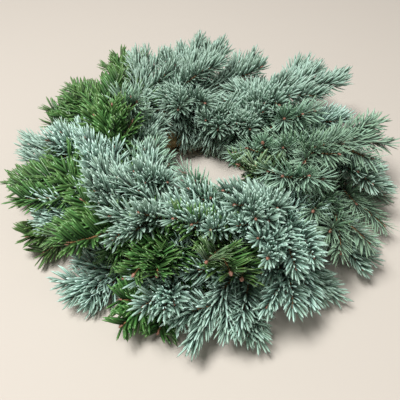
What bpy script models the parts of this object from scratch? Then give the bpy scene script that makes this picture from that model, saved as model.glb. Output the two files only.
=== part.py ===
"""Fresh evergreen wreath: fir sprigs bound with wire on a straw ring.

Metres, +Z up. The wreath lies flat on the underside of its straw ring, at z = 0,
and the origin is the middle of the whole wreath at that height.

Every sprig starts with a bare cut stem that lies along the ring under a turn of
the binding wire. Past the wire it lifts off the ring and carries its foliage,
clockwise as seen from above, over the stems of the sprigs tied in next to it.
"""
import math

import bmesh
import bpy
import numpy as np
from mathutils import Matrix, Vector

MM = 0.001

# Straw ring: a round straw roll, pressed flat underneath
RING_RADIUS = 95 * MM           # middle of the roll, measured from the hole's centre
ROLL_RADIUS = 30 * MM
ROLL_HEIGHT = 20 * MM           # height of the roll's middle over its flat underside
RING_STEPS = 56
ROLL_SIDES = 14

# Binding wire, wound once round the ring and the stems at each tie
TIES = 14
WIRE_RADIUS = 0.45 * MM
GROOVE_WIDTH = 2.0 * MM         # the wire bites this far into the straw underneath
GROOVE_DEPTH = 1.7 * MM
GROOVE_LENGTH = 54 * MM
WIRE_FOOT_HEIGHT = 0.85 * MM    # the wire's middle, where it crosses under the roll
WIRE_FOOT_REACH = 24.8 * MM     # from the roll's middle to where the wire turns up
SIDE_TURN = 20                  # degrees between the wire's points where nothing lies under it
STEM_TURNS = (-70, -25, 25, 70)     # degrees at which the wire may touch a stem's back

# Sprigs
STEM_RADIUS = 1.8 * MM
BUTT_LENGTH = 11 * MM           # cut stem behind the wire
LEAD_LENGTH = 11 * MM           # bare stem ahead of the wire
LIFT = 28                       # degrees by which the sprig then leaves the ring
GAP = 0.3 * MM                  # stem to straw, and wire to stem
TIE_CLEARANCE = 5.8 * MM        # foliage to straw, so that it passes over stems and wire
CLEARANCE = 1.1 * MM            # foliage to foliage
FLOOR_CLEARANCE = 2.0 * MM
FULL_LENGTH = 95 * MM           # a shorter sprig is slimmer
SLIMMEST = 0.72                 # the shortest sprigs' share of the full thickness
BODY_SHAPE = (0.66, 0.94, 1.00, 0.93, 0.72, 0.24)   # thickness from the bare stem to the tip
LEAVE_SHARE = 0.38              # share of its reach that a sprig keeps the way it lifts off
TIP_SHARE = 0.55                # how far along the rest the route's last control point lies
FIXED = 3                       # points of each sprig that lie on the ring

# How the sprigs give way to one another
ROUNDS = 420
LOOK_AGAIN = 20                 # rounds between two searches for near neighbours
NEAR = 12 * MM
EVEN_OUT = 0.25                 # how strongly a sprig's points move together
RETURN = 0.999                  # share of its shift that a sprig keeps each round
GIVE = 0.42                     # share of an overlap that each sprig clears in a round
MIDDLE_GIVE = 0.7               # of which this goes to each end of a stretch
HOLD_LENGTH = 0.6               # how firmly the points keep their spacing

# Where round the roll a stem lies: degrees up from the outside, over the top
SEATS = {"skirt": -8, "outer": 26, "shoulder": 61, "crown": 97, "inner": 137}

# Foliage thickness (radius) and colour of each kind of sprig
KINDS = {
    "noble_fir_sprig": (15.0 * MM, (0.095, 0.190, 0.165)),
    "nordmann_fir_sprig": (14.0 * MM, (0.022, 0.085, 0.024)),
    "turned_fir_sprig": (13.5 * MM, (0.230, 0.310, 0.220)),
}
NOBLE, NORDMANN, TURNED = KINDS

# The sprigs, tie by tie, clockwise from the far side. Each tip is given by its angle
# round the wreath (degrees, anticlockwise from +X), its reach from the middle and its
# height over the underside (both in mm).
SPRIGS = (
    (0, "skirt", NOBLE, 64, 176, 26),
    (0, "outer", NOBLE, 69, 185, 60),
    (0, "crown", NOBLE, 128, 62, 72),
    (0, "inner", NOBLE, 38, 45, 60),
    (1, "outer", NOBLE, 51, 205, 58),
    (1, "shoulder", NOBLE, 36, 204, 64),
    (1, "crown", NOBLE, 25, 99, 92),
    (1, "inner", NOBLE, 28, 60, 68),
    (2, "skirt", NOBLE, 14, 186, 24),
    (2, "outer", NOBLE, 19, 166, 54),
    (2, "crown", TURNED, 8, 98, 92),
    (3, "skirt", TURNED, 337, 188, 24),
    (3, "outer", NOBLE, 346, 182, 42),
    (3, "shoulder", TURNED, 0, 189, 50),
    (3, "crown", TURNED, 336, 130, 100),
    (3, "inner", TURNED, 334, 58, 92),
    (4, "skirt", NOBLE, 320, 186, 18),
    (4, "outer", TURNED, 310, 170, 60),
    (4, "crown", TURNED, 318, 118, 102),
    (4, "inner", NORDMANN, 317, 62, 80),
    (5, "skirt", NOBLE, 305, 178, 18),
    (5, "outer", NOBLE, 284, 180, 50),
    (5, "shoulder", NOBLE, 285, 166, 98),
    (5, "crown", NOBLE, 286, 138, 108),
    (6, "skirt", NOBLE, 281, 186, 20),
    (6, "outer", NOBLE, 266, 195, 22),
    (6, "shoulder", NORDMANN, 270, 168, 106),
    (6, "crown", NOBLE, 257, 125, 98),
    (6, "inner", TURNED, 263, 75, 95),
    (7, "skirt", NORDMANN, 248, 189, 24),
    (7, "outer", NOBLE, 261, 183, 60),
    (7, "shoulder", NORDMANN, 251, 170, 74),
    (7, "crown", NOBLE, 242, 157, 86),
    (8, "skirt", NOBLE, 232, 187, 18),
    (8, "shoulder", NORDMANN, 217, 168, 44),
    (8, "crown", NOBLE, 219, 124, 96),
    (8, "inner", NOBLE, 238, 98, 94),
    (9, "skirt", NORDMANN, 205, 187, 18),
    (9, "outer", NOBLE, 207, 168, 48),
    (9, "shoulder", NORDMANN, 188, 187, 38),
    (9, "crown", NOBLE, 202, 112, 96),
    (9, "inner", TURNED, 206, 34, 60),
    (10, "skirt", NORDMANN, 186, 192, 18),
    (10, "outer", NOBLE, 170, 191, 46),
    (10, "shoulder", NOBLE, 179, 140, 82),
    (10, "crown", NORDMANN, 163, 90, 100),
    (11, "outer", NORDMANN, 154, 192, 40),
    (11, "shoulder", NORDMANN, 143, 188, 48),
    (11, "crown", TURNED, 150, 79, 96),
    (11, "inner", NOBLE, 145, 60, 46),
    (12, "skirt", NOBLE, 118, 182, 24),
    (12, "outer", NORDMANN, 121, 196, 58),
    (12, "shoulder", NOBLE, 112, 178, 68),
    (13, "outer", NOBLE, 96, 172, 70),
    (13, "shoulder", NOBLE, 82, 188, 64),
    (13, "crown", NOBLE, 82, 122, 86),
)


def clear_scene():
    """Remove every object, so that the script starts from nothing."""
    for thing in list(bpy.data.objects):
        bpy.data.objects.remove(thing, do_unlink=True)


def make_collection(name):
    """Return a new collection that hangs in the scene."""
    collection = bpy.data.collections.new(name)
    bpy.context.scene.collection.children.link(collection)
    return collection


def make_material(name, colour, roughness, metallic=0.0):
    """Return a plain Principled material."""
    material = bpy.data.materials.new(name)
    material.use_nodes = True
    shader = material.node_tree.nodes["Principled BSDF"]
    shader.inputs["Base Color"].default_value = (*colour, 1.0)
    shader.inputs["Roughness"].default_value = roughness
    shader.inputs["Metallic"].default_value = metallic
    return material


def tie_angle(tie):
    """Angle round the wreath of a tie, in radians."""
    return math.radians(90 - 360 * tie / TIES)


def roll_point(angle, seat, distance):
    """Point at a distance from the roll's middle line.

    The angle goes round the wreath and the seat goes round the roll, in radians.
    """
    reach = RING_RADIUS + distance * math.cos(seat)
    height = ROLL_HEIGHT + distance * math.sin(seat)
    return np.array((reach * math.cos(angle), reach * math.sin(angle), height))


def unit(vector):
    """Return the vector at length 1."""
    return vector / np.linalg.norm(vector)


def sprig_route(tie, seat_name, tip):
    """Points from a sprig's cut end to its tip: three on the ring, then the foliage."""
    seat = math.radians(SEATS[seat_name])
    distance = ROLL_RADIUS + GAP + STEM_RADIUS
    reach = RING_RADIUS + distance * math.cos(seat)
    middle = tie_angle(tie)
    away = roll_point(middle, seat, distance)
    ahead = np.array((math.sin(middle), -math.cos(middle), 0.0))
    clockwise = 1 if np.dot(tip - away, ahead) > -distance / 2 else -1
    stem = []
    for run in (-BUTT_LENGTH, 0.0, LEAD_LENGTH):
        stem.append(roll_point(middle - clockwise * run / reach, seat, distance))
    start = stem[-1]
    lead_angle = middle - clockwise * LEAD_LENGTH / reach
    along = clockwise * np.array((math.sin(lead_angle), -math.cos(lead_angle), 0.0))
    outward = unit(start - roll_point(lead_angle, seat, 0.0))
    leave = math.cos(math.radians(LIFT)) * along + math.sin(math.radians(LIFT)) * outward
    span = np.linalg.norm(tip - start)
    first = start + leave * span * LEAVE_SHARE
    second = first + (tip - first) * TIP_SHARE
    body = []
    for step in range(1, len(BODY_SHAPE) + 1):
        t = step / len(BODY_SHAPE)
        s = 1 - t
        point = s**3 * start + 3 * s * s * t * first + 3 * s * t * t * second + t**3 * tip
        body.append(point)
    return np.array(stem + body)


def sprig_radii(kind, route):
    """Radius at each point of a sprig's route."""
    length = np.linalg.norm(np.diff(route, axis=0), axis=1).sum()
    full = KINDS[kind][0] * min(1.0, max(SLIMMEST, length / FULL_LENGTH))
    return np.array([STEM_RADIUS] * FIXED + [full * share for share in BODY_SHAPE])


def with_middles(values):
    """Put the middle of each stretch between its ends, along the second axis."""
    count = values.shape[1]
    wide = np.empty((values.shape[0], 2 * count - 1) + values.shape[2:])
    wide[:, 0::2] = values
    wide[:, 1::2] = (values[:, 1:] + values[:, :-1]) / 2
    return wide


def push_off_ring(points, radii):
    """Move foliage out of the roll and of the stems and wire on it.

    The first point of the foliage lies between two ties and may come nearer.
    """
    reach = np.maximum(np.linalg.norm(points[..., :2], axis=-1), 1e-6)
    from_roll = np.stack((reach - RING_RADIUS, points[..., 2] - ROLL_HEIGHT), axis=-1)
    distance = np.maximum(np.linalg.norm(from_roll, axis=-1), 1e-6)
    clearance = np.where(np.arange(points.shape[1]) == 0, CLEARANCE, TIE_CLEARANCE)
    short = np.maximum(ROLL_RADIUS + clearance + radii - distance, 0.0)
    move = from_roll * (short / distance)[..., None]
    points[..., :2] += points[..., :2] * (move[..., 0] / reach)[..., None]
    points[..., 2] += move[..., 1]


def make_room(routes, radii):
    """Let the sprigs give way to one another until none touches its neighbour.

    The three points on the ring stay. The rest keep their spacing along the sprig,
    stay near where they were and move together, so the sprig stays evenly curved.
    """
    home = routes.copy()
    spacing = np.linalg.norm(np.diff(home, axis=1), axis=2)
    wide_radii = with_middles(radii)
    count, wide = wide_radii.shape
    owner = np.repeat(np.arange(count), wide)
    slot = np.tile(np.arange(wide), count)
    flat_radii = wide_radii.reshape(-1)
    last_held = 2 * (FIXED - 1)
    for turn in range(ROUNDS):
        drift = routes - home
        smooth = drift.copy()
        smooth[:, 1:-1] += EVEN_OUT * (drift[:, :-2] + drift[:, 2:] - 2 * drift[:, 1:-1])
        routes[:, FIXED:] = (home + smooth * RETURN)[:, FIXED:]
        points = with_middles(routes).reshape(-1, 3)
        if turn % LOOK_AGAIN == 0:
            apart = np.linalg.norm(points[:, None] - points[None], axis=2)
            near = apart < flat_radii[:, None] + flat_radii[None] + NEAR
            pairs = np.argwhere(np.triu(near & (owner[:, None] != owner[None]), 1))
        one, two = pairs[:, 0], pairs[:, 1]
        line = points[one] - points[two]
        apart = np.maximum(np.linalg.norm(line, axis=1), 1e-7)
        short = flat_radii[one] + flat_radii[two] + CLEARANCE - apart
        hit = short > 0
        one, two = one[hit], two[hit]
        push = line[hit] * (short[hit] / apart[hit])[:, None]
        free_one = slot[one] > last_held
        free_two = slot[two] > last_held
        share = GIVE * np.where(free_one & free_two, 1.0, 2.0)[:, None]
        moves = np.zeros_like(points)
        np.add.at(moves, one, push * share * free_one[:, None])
        np.add.at(moves, two, -push * share * free_two[:, None])
        moves = moves.reshape(count, wide, 3)
        routes += moves[:, 0::2]
        routes[:, :-1] += moves[:, 1::2] * MIDDLE_GIVE
        routes[:, 1:] += moves[:, 1::2] * MIDDLE_GIVE
        routes[:, :FIXED] = home[:, :FIXED]
        for stretch in range(FIXED - 1, routes.shape[1] - 1):
            step = routes[:, stretch + 1] - routes[:, stretch]
            length = np.linalg.norm(step, axis=1)
            excess = (length - spacing[:, stretch]) / length * HOLD_LENGTH
            routes[:, stretch + 1] -= step * excess[:, None]
        body = routes[:, FIXED:]
        push_off_ring(body, radii[:, FIXED:])
        body[..., 2] = np.maximum(body[..., 2], radii[:, FIXED:] + FLOOR_CLEARANCE)
    return routes


def convex_outline(points):
    """Corners of the tightest loop round some points in a plane, in order."""
    ordered = sorted({(round(x, 7), round(y, 7)) for x, y in points})

    def half(sequence):
        chain = []
        for point in sequence:
            while len(chain) > 1:
                ax, ay = chain[-2]
                bx, by = chain[-1]
                if (bx - ax) * (point[1] - ay) - (by - ay) * (point[0] - ax) > 0:
                    break
                chain.pop()
            chain.append(point)
        return chain[:-1]

    return half(ordered) + half(reversed(ordered))


def wire_turn(seats):
    """One taut turn of wire round the roll and its stems, from foot to foot.

    Points are (distance outwards from the roll's middle, height).
    """
    over_straw = ROLL_RADIUS + 2 * GAP + WIRE_RADIUS
    stem_middle = ROLL_RADIUS + GAP + STEM_RADIUS
    over_stem = STEM_RADIUS + GAP + WIRE_RADIUS
    points = []
    for degrees in range(-20, 201, SIDE_TURN):
        turn = math.radians(degrees)
        points.append((over_straw * math.cos(turn), over_straw * math.sin(turn)))
    for seat in seats:
        middle = (stem_middle * math.cos(seat), stem_middle * math.sin(seat))
        for degrees in STEM_TURNS:
            turn = seat + math.radians(degrees)
            points.append((middle[0] + over_stem * math.cos(turn),
                           middle[1] + over_stem * math.sin(turn)))
    foot = WIRE_FOOT_HEIGHT - ROLL_HEIGHT
    points += [(WIRE_FOOT_REACH, foot), (-WIRE_FOOT_REACH, foot)]
    loop = convex_outline(points)
    first = min(range(len(loop)), key=lambda i: math.dist(loop[i], points[-2]))
    loop = loop[first:] + loop[:first]
    return [(x, y + ROLL_HEIGHT) for x, y in loop]


def wire_route(seats_by_tie):
    """The whole wire: a turn at every tie, each one reached along the inside."""
    route = []
    for tie in range(TIES):
        turn = wire_turn(seats_by_tie[tie])
        inner_foot = turn[-1]
        for point in [inner_foot] + turn[:-1]:
            route.append(place_on(tie_angle(tie), point))
    return route


def place_on(angle, point):
    """World place of a (distance, height) point at an angle round the wreath."""
    reach = RING_RADIUS + point[0]
    return (reach * math.cos(angle), reach * math.sin(angle), point[1])


def make_tube(name, route, radii, material, collection, resolution):
    """A round bar along a route, with its own radius at each point."""
    curve = bpy.data.curves.new(name, "CURVE")
    curve.dimensions = "3D"
    curve.bevel_depth = 1.0
    curve.bevel_resolution = resolution
    curve.use_fill_caps = True
    spline = curve.splines.new("POLY")
    spline.points.add(len(route) - 1)
    for knot, place, radius in zip(spline.points, route, radii):
        knot.co = (*place, 1.0)
        knot.radius = radius
    curve.materials.append(material)
    bar = bpy.data.objects.new(name, curve)
    collection.objects.link(bar)
    return bar


def roll_outline():
    """Outline of the roll: an arc over the top, closed by the flat underside.

    It runs from the inner foot to the outer one, so that the turned skin faces out.
    """
    below = math.asin(ROLL_HEIGHT / ROLL_RADIUS)
    sweep = math.pi + 2 * below
    outline = []
    for step in range(ROLL_SIDES + 1):
        turn = math.pi + below - sweep * step / ROLL_SIDES
        outline.append((RING_RADIUS + ROLL_RADIUS * math.cos(turn), 0.0,
                        ROLL_HEIGHT + ROLL_RADIUS * math.sin(turn)))
    return outline


def make_groove_cutter(cutters):
    """One bar for each turn of wire, lying across the underside of the roll."""
    shape = bmesh.new()
    for tie in range(TIES):
        angle = tie_angle(tie)
        middle = Vector((RING_RADIUS * math.cos(angle), RING_RADIUS * math.sin(angle), 0.0))
        place = Matrix.Translation(middle) @ Matrix.Rotation(angle, 4, "Z")
        size = Matrix.Diagonal((GROOVE_LENGTH, GROOVE_WIDTH, 2 * GROOVE_DEPTH, 1.0))
        bmesh.ops.create_cube(shape, size=1.0, matrix=place @ size)
    mesh = bpy.data.meshes.new("groove_cutter")
    shape.to_mesh(mesh)
    shape.free()
    cutter = bpy.data.objects.new("groove_cutter", mesh)
    cutter.hide_render = True
    cutter.display_type = "WIRE"
    cutters.objects.link(cutter)
    return cutter


def make_straw_ring(collection, cutters):
    """The straw roll turned into a ring, with a groove for each turn of the wire."""
    outline = roll_outline()
    count = len(outline)
    mesh = bpy.data.meshes.new("straw_ring")
    mesh.from_pydata(outline, [(i, (i + 1) % count) for i in range(count)], [])
    mesh.materials.append(make_material("straw", (0.62, 0.47, 0.22), 0.8))
    ring = bpy.data.objects.new("straw_ring", mesh)
    collection.objects.link(ring)
    turned = ring.modifiers.new("Turned", "SCREW")
    turned.steps = RING_STEPS
    turned.render_steps = RING_STEPS
    turned.use_merge_vertices = True
    turned.merge_threshold = 0.0001
    grooves = ring.modifiers.new("Wire grooves", "BOOLEAN")
    grooves.operation = "DIFFERENCE"
    grooves.object = make_groove_cutter(cutters)
    return ring


def main():
    clear_scene()
    wreath = make_collection("evergreen_wreath")
    cutters = make_collection("cutters")

    kinds = [row[2] for row in SPRIGS]
    routes = []
    for tie, seat, _, angle, reach, height in SPRIGS:
        turn = math.radians(angle)
        tip = MM * np.array((reach * math.cos(turn), reach * math.sin(turn), height))
        routes.append(sprig_route(tie, seat, tip))
    radii = [sprig_radii(kind, route) for kind, route in zip(kinds, routes)]
    routes = make_room(np.array(routes), np.array(radii))

    seats_by_tie = [[math.radians(SEATS[row[1]]) for row in SPRIGS if row[0] == tie]
                    for tie in range(TIES)]
    wire = wire_route(seats_by_tie)

    skins = {kind: make_material(kind, colour, 0.6) for kind, (_, colour) in KINDS.items()}
    parts = [make_straw_ring(wreath, cutters)]
    green_wire = make_material("green_wire", (0.05, 0.10, 0.05), 0.4, 0.8)
    parts.append(make_tube("binding_wire", wire, [WIRE_RADIUS] * len(wire), green_wire, wreath, 2))
    numbers = {kind: 0 for kind in KINDS}
    for kind, route, radius in zip(kinds, routes, radii):
        numbers[kind] += 1
        name = f"{kind}_{numbers[kind]:02d}"
        parts.append(make_tube(name, route, radius, skins[kind], wreath, 1))

    # The origin is the middle of the whole wreath
    edge = np.array(radii)[..., None]
    low = (routes - edge).min(axis=(0, 1))
    high = (routes + edge).max(axis=(0, 1))
    middle = (low + high) / 2
    holder = bpy.data.objects.new("wreath_middle", None)
    holder.location = (-middle[0], -middle[1], 0.0)
    wreath.objects.link(holder)
    for part in parts:
        part.parent = holder
    for cutter in cutters.objects:
        cutter.parent = holder


main()
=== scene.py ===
import math

import bpy
import numpy as np
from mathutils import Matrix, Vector


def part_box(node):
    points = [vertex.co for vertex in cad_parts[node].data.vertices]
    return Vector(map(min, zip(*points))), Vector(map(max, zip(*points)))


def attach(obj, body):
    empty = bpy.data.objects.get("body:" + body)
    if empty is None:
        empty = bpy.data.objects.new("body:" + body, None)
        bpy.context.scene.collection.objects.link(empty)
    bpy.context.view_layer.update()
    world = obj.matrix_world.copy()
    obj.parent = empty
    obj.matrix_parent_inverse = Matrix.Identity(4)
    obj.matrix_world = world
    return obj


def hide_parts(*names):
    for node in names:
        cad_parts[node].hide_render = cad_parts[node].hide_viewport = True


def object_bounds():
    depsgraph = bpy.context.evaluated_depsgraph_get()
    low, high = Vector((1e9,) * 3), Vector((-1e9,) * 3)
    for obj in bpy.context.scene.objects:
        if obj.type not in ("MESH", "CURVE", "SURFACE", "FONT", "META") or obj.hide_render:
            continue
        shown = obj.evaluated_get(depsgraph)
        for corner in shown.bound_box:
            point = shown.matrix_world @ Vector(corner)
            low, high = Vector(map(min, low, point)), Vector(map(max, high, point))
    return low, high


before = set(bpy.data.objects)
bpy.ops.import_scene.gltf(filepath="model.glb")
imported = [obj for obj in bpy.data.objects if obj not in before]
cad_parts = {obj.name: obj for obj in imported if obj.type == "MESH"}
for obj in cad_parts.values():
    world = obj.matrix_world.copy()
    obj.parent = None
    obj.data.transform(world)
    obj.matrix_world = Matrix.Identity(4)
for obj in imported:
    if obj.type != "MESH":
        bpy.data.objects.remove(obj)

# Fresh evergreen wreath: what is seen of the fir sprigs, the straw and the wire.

CAD_BOX = [list(map(float, corner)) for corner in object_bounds()]
MM = 0.001

# The wreath's own sizes, from the straw ring's solid
RING_LOW, RING_HIGH = (Vector(corner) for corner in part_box("straw_ring"))
RING_MIDDLE = (RING_LOW + RING_HIGH) / 2
ROLL_RADIUS = 30 * MM
RING_RADIUS = (RING_HIGH.x - RING_LOW.x) / 2 - ROLL_RADIUS
ROLL_HEIGHT = RING_HIGH.z - ROLL_RADIUS
STEM_EDGE = 2.05 * MM           # edges round a bare stem are shorter than this
WELD = 0.02 * MM                # corners closer than this are one

# The colour map that every piece of a sprig shares
COLOUR_MAP = "OFBake"
ROWS = 10
NEEDLE_ROWS = 8
TONE_ROWS = 4                   # neighbouring rows that one sprig's needles take
TWIG_ROW = 8
BUD_ROW = 9
ROW_MARGIN = 0.08

# How shoots run
STEP = 3 * MM                   # between the points of a shoot
OUTWARD_SHARE = 0.55            # how far a shoot's upper side turns away from the roll
SKY_SHARE = 0.75                # and towards the sky
LOWEST = 6 * MM                 # a shoot's middle over the table
TIP_TRIM = 3                    # steps that the needles at the tip reach past its end
SIDE_LENGTHS = (24 * MM, 58 * MM)   # shortest and longest side shoot
STEM_GIRTH = 1.75 * MM
SIDE_GIRTH = 1.1 * MM
TIP_GIRTH = 0.75 * MM

# Short shoots that lie round the straw roll and hide it
COVER_GAP = 9 * MM              # their height over the straw
COVER_FOOT = 3 * MM             # and where they start
COVER_LENGTH = 42 * MM          # along the roll
INNER_COVER = 58 * MM           # down into the hole
OUTER_COVER = 40 * MM           # down the outside
BACK_COVER = 34 * MM            # back over the sprig's own stem
HIGH_SHARE = 0.4                # sprigs tied above this share of the roll hang inside
CROWN_SHARE = 0.9               # and above this share they lie back over their stems

# How needles settle
FLOOR_GAP = 0.6 * MM
FLOOR_PRESS = 0.04              # how little a corner from under it is laid above it
CROWN_TOP = CAD_BOX[1][2]       # needles above this bend over a little
CROWN_PRESS = 0.6
GOLDEN_ANGLE = math.pi * (3 - math.sqrt(5))


# ---------------------------------------------------------------- sprigs' routes

def sprig_route(node):
    """Middle points of a sprig's solid, from its cut end to its tip."""
    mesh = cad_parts[node].data
    corners = np.empty(len(mesh.vertices) * 3)
    mesh.vertices.foreach_get("co", corners)
    rounded = np.round(corners.reshape(-1, 3) / WELD).astype(int)
    _, first, same = np.unique(rounded, axis=0, return_index=True, return_inverse=True)
    same = same.reshape(-1)
    places = corners.reshape(-1, 3)[first]
    links = {i: set() for i in range(len(places))}
    for face in mesh.polygons:
        ends = [int(same[v]) for v in face.vertices]
        for one in ends:
            links[one].update(other for other in ends if other != one)

    def short(one, other):
        return np.linalg.norm(places[one] - places[other]) < STEM_EDGE

    rings = []
    seen = set()
    for start in links:
        if start in seen or not any(short(start, other) for other in links[start]):
            continue
        ring, queue = set(), [start]
        while queue:
            one = queue.pop()
            if one in ring:
                continue
            ring.add(one)
            queue += [other for other in links[one] if short(one, other)]
        seen |= ring
        rings.append(ring)
    top = max(range(len(places)), key=lambda i: np.linalg.norm(places[i] - places[min(seen)]))
    butt = max(rings, key=lambda ring: np.linalg.norm(places[list(ring)].mean(0) - places[top]))
    route, layer, done = [], set(butt), set()
    while layer:
        route.append(places[list(layer)].mean(0))
        done |= layer
        layer = {other for one in layer for other in links[one]} - done
    return np.array(route)


def resample(route, step):
    """Points at an even step along a smooth curve through a route."""
    points = []
    padded = np.vstack((2 * route[0] - route[1], route, 2 * route[-1] - route[-2]))
    for i in range(1, len(padded) - 2):
        a, b, c, d = padded[i - 1:i + 3]
        for t in np.linspace(0, 1, 12, endpoint=False):
            points.append(0.5 * (2 * b + (c - a) * t + (2 * a - 5 * b + 4 * c - d) * t * t
                                 + (3 * b - a - 3 * c + d) * t**3))
    points.append(route[-1])
    points = np.array(points)
    run = np.concatenate(([0], np.cumsum(np.linalg.norm(np.diff(points, axis=0), axis=1))))
    count = max(3, int(round(run[-1] / step)) + 1)
    even = np.linspace(0, run[-1], count)
    return np.stack([np.interp(even, run, points[:, k]) for k in range(3)], axis=1)


def unit(vector):
    return vector / max(np.linalg.norm(vector), 1e-9)


def roll_middle(point):
    """The place on the straw roll's middle line that is nearest to a point."""
    hub = np.array(RING_MIDDLE[:2])
    return np.array((*(hub + unit(point[:2] - hub) * RING_RADIUS), ROLL_HEIGHT))


def outward(point):
    """The way that faces away from the straw roll, leaning towards the sky."""
    away = unit(point - roll_middle(point))
    return unit(away * OUTWARD_SHARE + np.array((0, 0, SKY_SHARE)))


def onto_roll(point, gap):
    """The place nearest to a point at a given height over the straw roll."""
    middle = roll_middle(point)
    return middle + unit(point - middle) * (ROLL_RADIUS + gap)


def cover_shoot(start, heading, length):
    """A short shoot that lies round the straw roll and hides it."""
    count = int(length / STEP)
    points = [np.array(start)]
    way = unit(heading)
    for i in range(1, count + 1):
        gap = COVER_GAP * min(1.0, 3 * i / count)
        point = onto_roll(points[-1] + way * STEP, gap)
        point[2] = max(point[2], LOWEST)
        way = unit(unit(point - points[-1]) + 0.15 * way)
        points.append(point)
    return np.array(points)


def side_shoot(start, heading, length, turn_to, turn):
    """A side shoot's route: it leaves along a heading and curves towards another way."""
    count = max(4, int(length / STEP))
    points = [np.array(start)]
    way = unit(heading)
    for _ in range(count):
        way = unit(way + turn_to * turn / count)
        points.append(points[-1] + way * length / count)
    points = np.array(points)
    points[:, 2] = np.maximum(points[:, 2], LOWEST)
    return points


def side_shoots(main, run, bare, style, chance):
    """Side shoots that leave the main shoot on its left and right in turn."""
    shoots = []
    leaf_run = run[-1] - bare
    side = 1 if chance.random() < 0.5 else -1
    for share in style["branches"]:
        at = bare + leaf_run * (share + chance.uniform(-0.04, 0.04))
        i = min(int(np.searchsorted(run, at)), len(main) - 2)
        way = unit(main[i + 1] - main[i - 1])
        up = outward(main[i])
        across = unit(np.cross(way, up)) * side
        angle = math.radians(chance.uniform(*style["branch_angle"]))
        lift = chance.uniform(-0.12, 0.30)
        heading = way * math.cos(angle) + across * math.sin(angle) + up * lift
        length = leaf_run * (1 - share) * chance.uniform(0.62, 0.85)
        length = min(max(length, SIDE_LENGTHS[0]), SIDE_LENGTHS[1])
        shoots.append(side_shoot(main[i], heading, length, way, 0.5))
        side = -side
    return shoots


def covering_shoots(base, way, chance):
    """Shoots that leave a sprig's base and lie round the straw roll."""
    shoots = []
    height = base[2] - ROLL_HEIGHT
    across = unit(np.cross(way, outward(base)))
    for side in (-1, 1):
        heading = way * chance.uniform(0.35, 0.7) + across * side
        length = COVER_LENGTH * chance.uniform(0.8, 1.15)
        shoots.append(cover_shoot(base, heading, length))
    start = onto_roll(base, COVER_FOOT)
    if height > ROLL_RADIUS * HIGH_SHARE:
        length = INNER_COVER * chance.uniform(0.9, 1.1)
        hole = unit((np.array(RING_MIDDLE) - base) * (1, 1, 0))
        shoots.append(cover_shoot(start, hole + way * chance.uniform(-0.2, 0.3), length))
    if height > ROLL_RADIUS * CROWN_SHARE:
        for side in (-1, 1):
            heading = across * side * chance.uniform(0.5, 0.9) - way
            shoots.append(cover_shoot(base, heading, BACK_COVER))
    if height < ROLL_RADIUS:
        heading = np.array((0, 0, -1.0)) + way * chance.uniform(-0.4, 0.4)
        shoots.append(cover_shoot(start, heading, OUTER_COVER))
    return shoots


def sprig_shoots(route, kind, chance):
    """All shoots of a sprig, the main one first, each as (points, share that is bare)."""
    main = resample(route, STEP)[:-TIP_TRIM]
    run = np.concatenate(([0], np.cumsum(np.linalg.norm(np.diff(main, axis=0), axis=1))))
    bare = np.linalg.norm(np.diff(route[:3], axis=0), axis=1).sum()
    others = side_shoots(main, run, bare, STYLES[kind], chance)
    first = int(np.searchsorted(run, bare))
    way = unit(main[first + 1] - main[first - 1])
    others += covering_shoots(main[first], way, chance)
    return [(main, bare / run[-1])] + [(line, 0.0) for line in others]


# ---------------------------------------------------------------- needles

def needle_shape(name, width, thick, bend, row, blunt):
    """One needle of unit length along +Z, its upper face towards +X.

    Its map runs along the needle and round it: left edge, upper ridge, right edge, keel.
    """
    stations = ((0.0, 0.55), (0.10, 0.9), (0.48, 1.0), (0.82, blunt))
    rings = []
    for along, share in stations:
        shift = bend * along * along
        half, high = width / 2 * share, thick / 2 * share
        rings.append([(shift, -half, along), (shift + high, 0, along),
                      (shift, half, along), (shift - high, 0, along)])
    points = [p for ring in rings for p in ring] + [(bend, 0, 1.0)]
    apex = len(points) - 1
    faces, maps = [], []

    def place(along, around):
        return (0.02 + 0.96 * along, (row + ROW_MARGIN + (1 - 2 * ROW_MARGIN) * around) / ROWS)

    for k in range(len(rings) - 1):
        for s in range(4):
            a, b = 4 * k + s, 4 * k + (s + 1) % 4
            faces.append((a, a + 4, b + 4, b))
            low, high = stations[k][0], stations[k + 1][0]
            maps.append([place(low, s / 4), place(high, s / 4),
                         place(high, (s + 1) / 4), place(low, (s + 1) / 4)])
    last = 4 * (len(rings) - 1)
    for s in range(4):
        faces.append((last + s, apex, last + (s + 1) % 4))
        maps.append([place(stations[-1][0], s / 4), place(1, (s + 0.5) / 4),
                     place(stations[-1][0], (s + 1) / 4)])
    faces.append((0, 1, 2, 3))
    maps.append([place(0, 0)] * 4)
    return finish_shape(name, points, faces, maps)


def finish_shape(name, points, faces, maps):
    """An object of a small shape with its places on the colour map."""
    mesh = bpy.data.meshes.new(name)
    mesh.from_pydata(points, [], faces)
    layer = mesh.uv_layers.new(name=COLOUR_MAP)
    flat = [value for face in maps for corner in face for value in corner]
    layer.data.foreach_set("uv", flat)
    mesh.polygons.foreach_set("use_smooth", [len(face) < 5 for face in faces])
    return bpy.data.objects.new(name, mesh)


def needle_set(name, width, thick, bends, blunt):
    """A collection of needles, one for each colour row, with their bends in turn."""
    group = bpy.data.collections.new(name)
    for row in range(NEEDLE_ROWS):
        bend = bends[row % len(bends)]
        group.objects.link(needle_shape(f"{name}_{row}", width, thick, bend, row, blunt))
    return group


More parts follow.
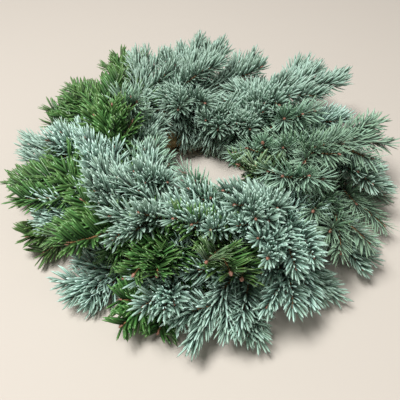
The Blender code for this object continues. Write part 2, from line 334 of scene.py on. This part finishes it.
def bud_shape():
    """A plump resin bud of unit length along +Z, with overlapping scale rows."""
    profile = ((0.0, 0.16), (0.12, 0.30), (0.30, 0.36), (0.34, 0.33), (0.56, 0.30),
               (0.60, 0.26), (0.80, 0.17))
    sides = 6
    points, faces, maps = [], [], []
    for height, radius in profile:
        for s in range(sides):
            turn = 2 * math.pi * s / sides
            points.append((radius * math.cos(turn), radius * math.sin(turn), height))
    points.append((0, 0, 1.0))

    def place(height, s):
        return (0.02 + 0.96 * height,
                (BUD_ROW + ROW_MARGIN + (1 - 2 * ROW_MARGIN) * s / sides) / ROWS)

    for k in range(len(profile) - 1):
        for s in range(sides):
            a, b = sides * k + s, sides * k + (s + 1) % sides
            faces.append((a, b, b + sides, a + sides))
            low, high = profile[k][0], profile[k + 1][0]
            maps.append([place(low, s), place(low, s + 1), place(high, s + 1), place(high, s)])
    last = sides * (len(profile) - 1)
    for s in range(sides):
        faces.append((last + s, last + (s + 1) % sides, len(points) - 1))
        maps.append([place(0.8, s), place(0.8, s + 1), place(1, s + 0.5)])
    faces.append(tuple(range(sides - 1, -1, -1)))
    maps.append([place(0, 0)] * sides)
    return finish_shape("resin_bud", points, faces, maps)


class Tree:
    """Small helper that adds linked nodes to a geometry or shader tree."""

    def __init__(self, tree):
        self.tree = tree

    def add(self, kind, *values, **settings):
        """Add a node. Values fill its inputs in order; None leaves one as it is."""
        node = self.tree.nodes.new(kind)
        named = settings.pop("inputs", {})
        for key, value in settings.items():
            setattr(node, key, value)
        live = [socket for socket in node.inputs if socket.enabled]
        pairs = list(zip(live, values))
        pairs += [(next(s for s in live if s.name == key), value)
                  for key, value in named.items()]
        for socket, value in pairs:
            if value is None:
                continue
            if isinstance(value, bpy.types.NodeSocket):
                self.tree.links.new(value, socket)
            else:
                socket.default_value = value
        return node

    def out(self, kind, *values, **settings):
        """Add a node and return its first live output."""
        node = self.add(kind, *values, **settings)
        return next(socket for socket in node.outputs if socket.enabled)

    def link(self, source, node, socket):
        self.tree.links.new(source, node.inputs[socket])

    def mixed(self, factor, one, other):
        """The mix of two colours."""
        node = self.tree.nodes.new("ShaderNodeMix")
        node.data_type = "RGBA"
        for socket, source in ((0, factor), (6, one), (7, other)):
            self.link(source, node, socket)
        return node.outputs[2]

    def math(self, operation, *values):
        return self.out("ShaderNodeMath", *values, operation=operation)

    def vector(self, operation, *values):
        return self.out("ShaderNodeVectorMath", *values, operation=operation)

    def scaled(self, vector, factor):
        node = self.add("ShaderNodeVectorMath", operation="SCALE", inputs={"Scale": factor})
        self.link(vector, node, 0)
        return node.outputs[0]

    def random(self, low, high, seed, offset):
        """A random number for each instance. The offset tells apart what it is for."""
        shifted = self.math("ADD", seed, float(offset))
        return self.out("FunctionNodeRandomValue", data_type="FLOAT",
                        inputs={"Min": low, "Max": high, "Seed": shifted})


def make_fir_tree():
    """Geometry nodes that clothe a sprig's routes with bark, needles and buds."""
    tree = bpy.data.node_groups.new("fir_sprig", "GeometryNodeTree")
    face = tree.interface
    face.new_socket("Geometry", in_out="INPUT", socket_type="NodeSocketGeometry")
    face.new_socket("Geometry", in_out="OUTPUT", socket_type="NodeSocketGeometry")
    sizes = (("Needle Spacing", 0.6 * MM), ("Needle Length", 22 * MM), ("Base Spread", 0.9),
             ("Tip Spread", 0.4), ("Parting", 0.0), ("Parted Turn", 1.15), ("Forward Face", 0.5),
             ("Lift", 0.1), ("Bud Size", 5 * MM))
    for name, value in sizes:
        socket = face.new_socket(name, in_out="INPUT", socket_type="NodeSocketFloat")
        socket.default_value = value
    for name in ("Seed", "Tone"):
        face.new_socket(name, in_out="INPUT", socket_type="NodeSocketInt")
    face.new_socket("Needles", in_out="INPUT", socket_type="NodeSocketCollection")
    face.new_socket("Bud", in_out="INPUT", socket_type="NodeSocketObject")
    for name in ("Needle Finish", "Bark Finish", "Bud Finish"):
        face.new_socket(name, in_out="INPUT", socket_type="NodeSocketMaterial")

    t = Tree(tree)
    given = tree.nodes.new("NodeGroupInput").outputs
    seed = given["Seed"]
    curve = t.out("GeometryNodeMeshToCurve", given["Geometry"])

    def attribute(name, kind):
        return t.out("GeometryNodeInputNamedAttribute", name, data_type=kind)

    # Needles stand at even steps along every shoot, past its bare stem
    steps = t.out("GeometryNodeResampleCurve", mode="LENGTH",
                  inputs={"Curve": curve, "Length": given["Needle Spacing"]})
    tangent = t.out("GeometryNodeInputTangent")
    up = attribute("up", "FLOAT_VECTOR")
    across = t.vector("NORMALIZE", t.vector("CROSS_PRODUCT", tangent, up))
    top = t.vector("NORMALIZE", t.vector("CROSS_PRODUCT", across, tangent))
    index = t.out("GeometryNodeInputIndex")
    whorl = t.math("ADD", t.math("MULTIPLY", index, GOLDEN_ANGLE), t.random(-0.3, 0.3, seed, 1))
    half = t.math("MODULO", index, 2.0)
    sign = t.math("MULTIPLY_ADD", half, 2.0, -1.0)
    swing = t.math("ADD", given["Parted Turn"], t.random(-0.62, 0.42, seed, 2))
    parted = t.math("MULTIPLY", sign, swing)
    turn = t.out("ShaderNodeMix", given["Parting"], whorl, parted, data_type="FLOAT")
    radial = t.vector("ADD", t.scaled(top, t.math("COSINE", turn)),
                      t.scaled(across, t.math("SINE", turn)))
    along = t.out("GeometryNodeSplineParameter")
    late = t.math("POWER", along, 1.6)
    spread = t.out("ShaderNodeMix", late, given["Base Spread"], given["Tip Spread"],
                   data_type="FLOAT")
    spread = t.math("ADD", spread, t.random(-0.17, 0.17, seed, 3))
    heading = t.vector("ADD", t.scaled(tangent, t.math("COSINE", spread)),
                       t.scaled(radial, t.math("SINE", spread)))
    heading = t.vector("ADD", heading, t.scaled(top, given["Lift"]))
    stand = t.out("FunctionNodeAlignRotationToVector", axis="Z", inputs={"Vector": heading})
    facing = t.vector("ADD", t.scaled(tangent, given["Forward Face"]),
                      t.scaled(top, t.math("SUBTRACT", 1.0, given["Forward Face"])))
    stand = t.out("FunctionNodeAlignRotationToVector", axis="X", pivot_axis="Z",
                  inputs={"Rotation": stand, "Vector": facing})
    reach = t.math("MULTIPLY", attribute("reach", "FLOAT"), given["Needle Length"])
    reach = t.math("MULTIPLY", reach, t.random(0.84, 1.10, seed, 4))
    chosen = t.math("GREATER_THAN", attribute("reach", "FLOAT"), 0.05)
    variant = t.out("FunctionNodeRandomValue", data_type="INT",
                    inputs={"Min": given["Tone"], "Seed": seed,
                            "Max": t.math("ADD", given["Tone"], TONE_ROWS - 1.0)})
    needles = t.out("GeometryNodeCollectionInfo", given["Needles"],
                    inputs={"Separate Children": True, "Reset Children": True})
    stood = t.out("GeometryNodeInstanceOnPoints",
                  inputs={"Points": steps, "Selection": chosen, "Instance": needles,
                          "Pick Instance": True, "Instance Index": variant,
                          "Rotation": stand, "Scale": reach})
    stood = t.out("GeometryNodeRealizeInstances", stood)
    stood = t.out("GeometryNodeSetMaterial", inputs={"Geometry": stood,
                                                     "Material": given["Needle Finish"]})

    # Bark follows the routes and thins towards each tip
    round_twig = t.out("GeometryNodeCurvePrimitiveCircle", inputs={"Resolution": 6, "Radius": 1.0})
    girth = attribute("girth", "FLOAT")
    bark_route = t.out("GeometryNodeSetCurveRadius", inputs={"Curve": curve, "Radius": girth})
    bark = t.add("GeometryNodeCurveToMesh", inputs={"Curve": bark_route,
                                                   "Profile Curve": round_twig, "Fill Caps": True})
    t.link(girth, bark, "Scale")
    twig_map = t.out("ShaderNodeCombineXYZ", attribute("along", "FLOAT"),
                     (TWIG_ROW + 0.5) / ROWS, 0.0)
    bark = t.out("GeometryNodeStoreNamedAttribute", data_type="FLOAT2", domain="CORNER",
                 inputs={"Geometry": bark.outputs[0], "Name": COLOUR_MAP, "Value": twig_map})
    bark = t.out("GeometryNodeSetMaterial", inputs={"Geometry": bark,
                                                    "Material": given["Bark Finish"]})

    # A bud closes each shoot
    ends = t.out("GeometryNodeCurveEndpointSelection", inputs={"Start Size": 0, "End Size": 1})
    bud_way = t.out("FunctionNodeAlignRotationToVector", axis="Z", inputs={"Vector": tangent})
    bud = t.add("GeometryNodeObjectInfo", given["Bud"]).outputs["Geometry"]
    buds = t.out("GeometryNodeInstanceOnPoints",
                 inputs={"Points": curve, "Selection": ends, "Instance": bud,
                         "Rotation": bud_way,
                         "Scale": t.math("MULTIPLY", given["Bud Size"],
                                         t.random(0.8, 1.2, seed, 5))})
    buds = t.out("GeometryNodeRealizeInstances", buds)
    buds = t.out("GeometryNodeSetMaterial", inputs={"Geometry": buds,
                                                    "Material": given["Bud Finish"]})
    joined = tree.nodes.new("GeometryNodeJoinGeometry")
    for source in (stood, bark, buds):
        t.link(source, joined, 0)
    t.link(joined.outputs[0], tree.nodes.new("NodeGroupOutput"), 0)
    return tree


# ---------------------------------------------------------------- finishes

def value_ramp(t, factor, stops):
    """A colour ramp through (place, colour) stops."""
    node = t.add("ShaderNodeValToRGB", factor)
    ramp = node.color_ramp
    while len(ramp.elements) < len(stops):
        ramp.elements.new(0.5)
    for element, (place, colour) in zip(ramp.elements, stops):
        element.position = place
        element.color = (*colour, 1.0)
    return node.outputs[0]


# How the needles' colour rows differ, from the first to the last
DARKEST_ROW = 0.74
ROW_BRIGHTER = 0.62 / (NEEDLE_ROWS - 1)
GREENEST_ROW = 0.466            # hue, where 0.5 leaves a colour as it is
ROW_BLUER = 0.056 / (NEEDLE_ROWS - 1)
PAINTED_FOOT_SHADE = 0.10               # painted shade: brightness at a needle's foot, where it meets the twig


def make_needle_colour():
    """Shader group: a needle's colour from its map, along it, round it and by its row, with
    painted shade at its foot.
    """
    tree = bpy.data.node_groups.new("needle_colour", "ShaderNodeTree")
    face = tree.interface
    for name in ("Upper", "Under", "Bloom", "Tip"):
        face.new_socket(name, in_out="INPUT", socket_type="NodeSocketColor")
    for name, value in (("Bloom Above", 0.2), ("Bloom Below", 0.7), ("Tip Share", 0.5)):
        face.new_socket(name, in_out="INPUT", socket_type="NodeSocketFloat").default_value = value
    face.new_socket("Color", in_out="OUTPUT", socket_type="NodeSocketColor")
    face.new_socket("Height", in_out="OUTPUT", socket_type="NodeSocketFloat")
    t = Tree(tree)
    given = tree.nodes.new("NodeGroupInput").outputs
    chart = t.out("ShaderNodeUVMap", uv_map=COLOUR_MAP)
    split = t.add("ShaderNodeSeparateXYZ", chart)
    along, up = split.outputs[0], split.outputs[1]
    scaled = t.math("MULTIPLY", up, float(ROWS))
    row = t.math("FLOOR", scaled)
    around = t.math("SUBTRACT", scaled, row)
    below = t.math("GREATER_THAN", around, 0.5)
    # two waxy bands on each face, one on either side of the midrib
    quarter = t.math("FRACT", t.math("MULTIPLY", around, 4.0))
    band = t.math("SUBTRACT", 1.0, t.math("MULTIPLY", t.math("ABSOLUTE",
                  t.math("SUBTRACT", quarter, 0.5)), 2.0))
    band = t.math("SMOOTH_MIN", t.math("MULTIPLY", band, 1.7), 1.0, 0.2)
    speck = t.out("ShaderNodeTexNoise", inputs={"Vector": t.vector("MULTIPLY", chart,
                  (60.0, 260.0, 1.0)), "Scale": 1.0, "Detail": 2.0})
    band = t.math("MULTIPLY", band, t.math("MULTIPLY_ADD", speck, 0.5, 0.7))
    share = t.out("ShaderNodeMix", below, given["Bloom Above"], given["Bloom Below"],
                  data_type="FLOAT")
    band = t.math("MULTIPLY", band, share)
    base = t.mixed(below, given["Upper"], given["Under"])
    waxed = t.mixed(band, base, given["Bloom"])
    ending = t.math("MULTIPLY", t.math("POWER", along, 3.0), given["Tip Share"])
    tipped = t.mixed(ending, waxed, given["Tip"])
    # rows run from a darker green to a paler blue, and the foot of each needle is darker with
    # painted shade
    shade = t.math("MULTIPLY_ADD", row, ROW_BRIGHTER, DARKEST_ROW)
    foot = t.math("MINIMUM", t.math("MULTIPLY_ADD", along, 1.3, PAINTED_FOOT_SHADE), 1.0)
    shade = t.math("MULTIPLY", shade, foot)
    hue = t.math("MULTIPLY_ADD", row, ROW_BLUER, GREENEST_ROW)
    final = t.out("ShaderNodeHueSaturation", inputs={"Hue": hue, "Value": shade,
                                                     "Color": tipped})
    result = tree.nodes.new("NodeGroupOutput")
    t.link(final, result, 0)
    t.link(band, result, 1)
    return tree


def new_finish(name, **values):
    """A material with its Principled shader's own values set, its tree and that shader."""
    material = bpy.data.materials.new(name)
    material.use_nodes = True
    shader = material.node_tree.nodes["Principled BSDF"]
    for key, value in values.items():
        shader.inputs[key.replace("_", " ").title()].default_value = value
    return material, Tree(material.node_tree), shader


def dress_shader(t, shader, colour, height, strength, distance):
    """Put a colour and a bump on a shader."""
    bump = t.out("ShaderNodeBump", inputs={"Strength": strength, "Distance": distance,
                                           "Height": height})
    t.link(colour, shader, "Base Color")
    t.link(bump, shader, "Normal")


def needle_finish(name, colours, shares, roughness, coat):
    """A finish for needles, with the colours and shares of the needle colour group."""
    material, t, shader = new_finish(name, roughness=roughness, coat_weight=coat,
                                     coat_roughness=0.3)
    group = t.add("ShaderNodeGroup", node_tree=NEEDLE_COLOUR)
    for key, value in colours.items():
        group.inputs[key].default_value = (*value, 1.0)
    for key, value in shares.items():
        group.inputs[key].default_value = value
    dress_shader(t, shader, group.outputs["Color"], group.outputs["Height"], 0.35, 0.4 * MM)
    return material


def mapped_finish(name, stops, roughness, grain, strength):
    """A finish whose colour runs through stops with a mottled grain on the sprig's map."""
    material, t, shader = new_finish(name, roughness=roughness)
    chart = t.out("ShaderNodeUVMap", uv_map=COLOUR_MAP)
    noise = t.out("ShaderNodeTexNoise", inputs={
        "Vector": t.vector("MULTIPLY", chart, grain), "Scale": 1.0, "Detail": 4.0})
    dress_shader(t, shader, value_ramp(t, noise, stops), noise, strength, 0.5 * MM)
    return material


def solid_finish(name, stops, roughness, scale, stretch, strength, metallic=0.0):
    """A finish for a CAD piece: colour and bump from noise on its own coordinates."""
    material, t, shader = new_finish(name, roughness=roughness, metallic=metallic)
    coords = t.add("ShaderNodeTexCoord").outputs["Object"]
    noise = t.out("ShaderNodeTexNoise", inputs={
        "Vector": t.vector("MULTIPLY", coords, stretch), "Scale": scale, "Detail": 5.0})
    dress_shader(t, shader, value_ramp(t, noise, stops), noise, strength, 1 * MM)
    return material


NEEDLE_COLOUR = make_needle_colour()
NOBLE_FINISH = needle_finish(
    "noble_needles",
    {"Upper": (0.068, 0.180, 0.095), "Under": (0.110, 0.245, 0.150),
     "Bloom": (0.520, 0.720, 0.635), "Tip": (0.660, 0.830, 0.735)},
    {"Bloom Above": 0.52, "Bloom Below": 0.74, "Tip Share": 0.50}, roughness=0.5, coat=0.0)
NORDMANN_FINISH = needle_finish(
    "nordmann_needles",
    {"Upper": (0.040, 0.130, 0.022), "Under": (0.100, 0.210, 0.075),
     "Bloom": (0.440, 0.580, 0.410), "Tip": (0.190, 0.360, 0.090)},
    {"Bloom Above": 0.06, "Bloom Below": 0.60, "Tip Share": 0.45}, roughness=0.32, coat=0.35)
TURNED_FINISH = needle_finish(
    "turned_needles",
    {"Upper": (0.060, 0.165, 0.070), "Under": (0.110, 0.240, 0.125),
     "Bloom": (0.500, 0.690, 0.560), "Tip": (0.300, 0.460, 0.250)},
    {"Bloom Above": 0.34, "Bloom Below": 0.66, "Tip Share": 0.30}, roughness=0.42, coat=0.0)
BARK_FINISH = mapped_finish(
    "young_bark", ((0.25, (0.11, 0.055, 0.020)), (0.55, (0.25, 0.125, 0.045)),
                   (0.8, (0.36, 0.215, 0.095))),
    roughness=0.7, grain=(90.0, 40.0, 1.0), strength=0.5)
BUD_FINISH = mapped_finish(
    "resin_bud_scales", ((0.25, (0.16, 0.060, 0.035)), (0.55, (0.33, 0.150, 0.100)),
                         (0.85, (0.50, 0.300, 0.220))),
    roughness=0.45, grain=(14.0, 90.0, 1.0), strength=0.6)

STYLES = {
    "noble": {
        "finish": NOBLE_FINISH, "slot": "noble_fir", "turned": False,
        "branches": (0.10, 0.26, 0.44, 0.60), "branch_angle": (34, 56),
        "inputs": {"Needle Spacing": 0.56 * MM, "Needle Length": 20 * MM, "Base Spread": 1.12,
                   "Tip Spread": 0.56, "Parting": 0.0, "Parted Turn": 1.15,
                   "Forward Face": 0.6, "Lift": 0.22, "Bud Size": 3.5 * MM},
        "needle": ("noble_needle", 0.122, 0.066, (0.12, 0.20, 0.27, 0.16), 0.86)},
    "nordmann": {
        "finish": NORDMANN_FINISH, "slot": "nordmann_fir", "turned": False,
        "branches": (0.14, 0.32, 0.52), "branch_angle": (42, 62),
        "inputs": {"Needle Spacing": 0.62 * MM, "Needle Length": 25 * MM, "Base Spread": 1.12,
                   "Tip Spread": 0.66, "Parting": 1.0, "Parted Turn": 1.18,
                   "Forward Face": 0.12, "Lift": 0.12, "Bud Size": 4.5 * MM},
        "needle": ("nordmann_needle", 0.112, 0.028, (0.03, 0.09, -0.03, 0.06), 0.88)},
    "turned": {
        "finish": TURNED_FINISH, "slot": "turned_fir", "turned": True,
        "branches": (0.14, 0.34, 0.54), "branch_angle": (42, 62),
        "inputs": {"Needle Spacing": 0.52 * MM, "Needle Length": 22 * MM, "Base Spread": 0.98,
                   "Tip Spread": 0.50, "Parting": 0.0, "Parted Turn": 1.22,
                   "Forward Face": 0.12, "Lift": 0.04, "Bud Size": 4.5 * MM},
        "needle": ("turned_needle", 0.092, 0.028, (0.03, 0.08, -0.04, 0.05), 0.86)},
}
SPRIG_TREE = make_fir_tree()
RESIN_BUD = bud_shape()
for style in STYLES.values():
    style["needles"] = needle_set(*style["needle"])


# ---------------------------------------------------------------- sprigs

def sprig_guide(name, route, kind, chance):
    """Mesh of the sprig's routes, with the values that its needles and bark read."""
    style = STYLES[kind]
    points, edges = [], []
    values = {"up": [], "girth": [], "reach": [], "along": []}
    for line, bare in sprig_shoots(route, kind, chance):
        start = len(points)
        last = len(line) - 1
        for i, point in enumerate(line):
            share = i / last
            points.append(tuple(point))
            if i:
                edges.append((start + i - 1, start + i))
            up = outward(point)
            values["up"].append(-up if style["turned"] else up)
            thick = STEM_GIRTH if bare else SIDE_GIRTH
            values["girth"].append(thick + (TIP_GIRTH - thick) * share)
            leaf = (share - bare) / (1 - bare)
            full = min(1.0, 0.72 + 2.2 * leaf) * (1.0 - 0.22 * max(0.0, leaf) ** 3)
            values["reach"].append(full if leaf > 0.02 or not bare else 0.0)
            values["along"].append(0.02 + 0.96 * share)
    mesh = bpy.data.meshes.new(name + "_guide")
    mesh.from_pydata(points, edges, [])
    for key, numbers in values.items():
        data_type, field = ("FLOAT_VECTOR", "vector") if key == "up" else ("FLOAT", "value")
        layer = mesh.attributes.new(key, data_type, "POINT")
        layer.data.foreach_set(field, np.array(numbers, dtype=np.float32).reshape(-1))
    return bpy.data.objects.new(name + "_guide", mesh)


def clothe(guide, kind, seed, tone):
    """Run the sprig tree on a guide and return the result as a plain mesh."""
    style = STYLES[kind]
    clothes = guide.modifiers.new("Sprig", "NODES")
    clothes.node_group = SPRIG_TREE
    given = dict(style["inputs"])
    given.update({"Seed": seed, "Tone": tone, "Needles": style["needles"], "Bud": RESIN_BUD,
                  "Needle Finish": style["finish"], "Bark Finish": BARK_FINISH,
                  "Bud Finish": BUD_FINISH})
    for item in SPRIG_TREE.interface.items_tree:
        if item.item_type == "SOCKET" and item.in_out == "INPUT" and item.name in given:
            clothes[item.identifier] = given[item.name]
    bpy.context.scene.collection.objects.link(guide)
    graph = bpy.context.evaluated_depsgraph_get()
    mesh = bpy.data.meshes.new_from_object(guide.evaluated_get(graph))
    bpy.data.objects.remove(guide, do_unlink=True)
    return mesh


def settle(mesh):
    """Keep every corner off the table and the highest needles within the crown."""
    count = len(mesh.vertices)
    places = np.empty(count * 3, dtype=np.float32)
    mesh.vertices.foreach_get("co", places)
    places = places.reshape(-1, 3)
    low = places[:, 2] < FLOOR_GAP
    places[low, 2] = FLOOR_GAP + (FLOOR_GAP - places[low, 2]) * FLOOR_PRESS
    high = places[:, 2] > CROWN_TOP
    places[high, 2] = CROWN_TOP + (places[high, 2] - CROWN_TOP) * CROWN_PRESS
    mesh.vertices.foreach_set("co", places.reshape(-1))
    mesh.update()


# Sprigs on the far side of the wreath, painted darker for the shade they lie in, and the first
# colour row of their needles
PAINTED_SHADE_SPRIGS = {f"noble_fir_sprig_{number:02d}": tone for tone, numbers in (
    (0, (1, 2, 3, 4, 8, 29, 31, 33, 34)), (1, (5, 6, 7, 30, 32))) for number in numbers}


def make_sprig(node, seed):
    """Build the foliage that stands in for one sprig's solid."""
    kind = node.split("_")[0]
    chance = np.random.default_rng(seed)
    guide = sprig_guide(node, sprig_route(node), kind, chance)
    # far-side sprigs start at the darkest rows as painted shade; the others start at a random row
    tone = PAINTED_SHADE_SPRIGS.get(node, int(chance.integers(1, NEEDLE_ROWS - TONE_ROWS + 1)))
    mesh = clothe(guide, kind, seed, tone)
    mesh.name = node + "_foliage"
    settle(mesh)
    sprig = bpy.data.objects.new(node + "_foliage", mesh)
    bpy.context.scene.collection.objects.link(sprig)
    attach(sprig, "root")
    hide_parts(node)


SPRIG_NODES = sorted(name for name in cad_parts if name.split("_")[0] in STYLES)
FIRST_SEED = 100
for number, node in enumerate(SPRIG_NODES):
    make_sprig(node, FIRST_SEED + number)

STRAW = solid_finish(
    "straw", ((0.3, (0.30, 0.19, 0.07)), (0.5, (0.55, 0.40, 0.18)),
              (0.7, (0.72, 0.58, 0.32))),
    roughness=0.75, scale=60.0, stretch=(1.0, 1.0, 9.0), strength=0.8)
LACQUER = solid_finish(
    "green_lacquer", ((0.3, (0.02, 0.05, 0.02)), (0.6, (0.04, 0.10, 0.04)),
                      (0.8, (0.09, 0.16, 0.07))),
    roughness=0.38, scale=400.0, stretch=(1.0, 1.0, 1.0), strength=0.2, metallic=0.6)
for node, finish in (("straw_ring", STRAW), ("binding_wire", LACQUER)):
    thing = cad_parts[node]
    if not thing.material_slots:
        thing.data.materials.append(finish)
    for slot in thing.material_slots:
        slot.material = finish


# ---------------------------------------------------------------- floor, light, camera

FLOOR_COLOUR = (0.545, 0.495, 0.435, 1.0)
SKY_COLOUR = (1.0, 0.98, 0.95, 1.0)
SKY_LIGHT = 0.16                # how strongly the sky lights the wreath
SKY_SEEN = 0.70                 # and how bright it looks behind it
LAMPS = (                       # name, place, size, power
    ("key", (-0.5, -0.25, 1.75), 0.6, 46.0),
    ("fill", (0.9, -0.6, 1.0), 1.2, 2.5),
)


def make_stage():
    """A plain pale floor under a pale sky with two soft lamps."""
    bpy.ops.mesh.primitive_plane_add(size=6.0, location=(0, 0, 0))
    floor = bpy.context.object
    floor.name = "floor"
    material, _, _ = new_finish("pale_floor", base_color=FLOOR_COLOUR, roughness=0.8)
    floor.data.materials.append(material)

    world = bpy.data.worlds.new("studio")
    world.use_nodes = True
    t = Tree(world.node_tree)
    sky = world.node_tree.nodes["Background"]
    sky.inputs["Color"].default_value = SKY_COLOUR
    path = t.add("ShaderNodeLightPath").outputs
    seen = t.math("MAXIMUM", path["Is Camera Ray"],
                  t.math("MAXIMUM", path["Is Glossy Ray"], path["Is Transmission Ray"]))
    strength = t.math("MULTIPLY_ADD", seen, SKY_SEEN - SKY_LIGHT, SKY_LIGHT)
    t.link(strength, sky, "Strength")
    bpy.context.scene.world = world

    for name, place, size, power in LAMPS:
        lamp = bpy.data.lights.new(name, "AREA")
        lamp.size = size
        lamp.energy = power
        light = bpy.data.objects.new(name, lamp)
        light.location = place
        light.rotation_euler = (-Vector(place)).to_track_quat("-Z", "Y").to_euler()
        bpy.context.scene.collection.objects.link(light)


VIEW_HEIGHT = 45.0              # degrees over the table
VIEW_DISTANCE = 0.50            # from a place this far over the middle of the hole:
VIEW_LIFT = 0.03
VIEW_TILT = 3.28                # degrees that the camera looks below the wreath's middle
LENS = 44.3


def make_camera():
    """A camera at the front, looking down on the wreath."""
    lens = bpy.data.cameras.new("camera")
    lens.lens = LENS
    lens.sensor_width = 36.0
    camera = bpy.data.objects.new("camera", lens)
    height = math.radians(VIEW_HEIGHT)
    camera.location = (0.0, -VIEW_DISTANCE * math.cos(height),
                       VIEW_LIFT + VIEW_DISTANCE * math.sin(height))
    camera.rotation_euler = (math.radians(90 - VIEW_HEIGHT - VIEW_TILT), 0.0, 0.0)
    bpy.context.scene.collection.objects.link(camera)
    bpy.context.scene.camera = camera


make_stage()
make_camera()
bpy.context.scene.view_settings.view_transform = "Standard"
